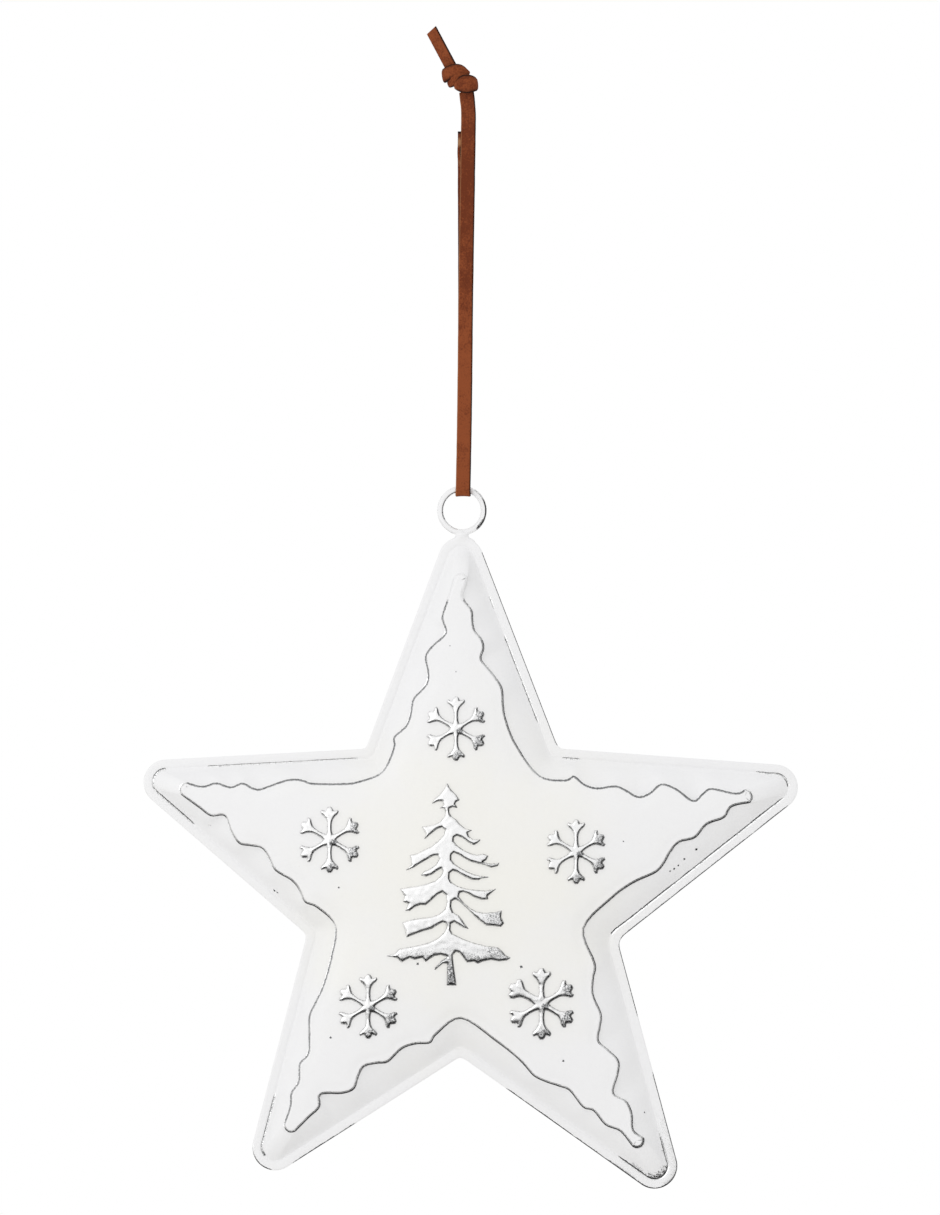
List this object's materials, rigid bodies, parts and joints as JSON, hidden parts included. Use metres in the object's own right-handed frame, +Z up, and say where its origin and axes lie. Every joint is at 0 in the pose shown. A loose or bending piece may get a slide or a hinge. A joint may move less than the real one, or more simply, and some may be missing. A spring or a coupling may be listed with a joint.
{
  "type": "hanging star ornament",
  "caption": "Puffed pressed-tin star with a fir tree and snowflakes raised on its face, a wire ring soldered to its top tip and a flat leather lace to hang it by.",
  "frame": {"origin": "Between the two legs of the lace, level with the slit, at the hanging_point mount where whatever carries the ornament holds it. The star hangs below it.", "axes": "+Z is up, against the pull of the star's weight. The star lies in the XZ plane and its decorated face looks along -Y, so +Y is through the star's thickness from face to back. +X is to the right of a viewer who looks at the face."},
  "size_m": [0.1745, 0.0177, 0.3105],
  "materials": {
    "tin": "satin",
    "wire": "satin",
    "lace": "matte"
  },
  "bodies": {
    "lace": {"lace_knot_leg": "lace", "lace_slit_leg": "lace", "lace_knot": "lace"},
    "star": {"front_shell": "tin", "back_shell": "tin", "hanging_ring": "wire", "ring_solder": "wire"}
  },
  "joints": [
    {"name": "star_swing", "type": "hinge", "parent": "lace", "child": "star", "pos_m": [0, 0, -0.09045], "axis": [1, 0, 0], "range_deg": [-150, 150]}
  ]
}
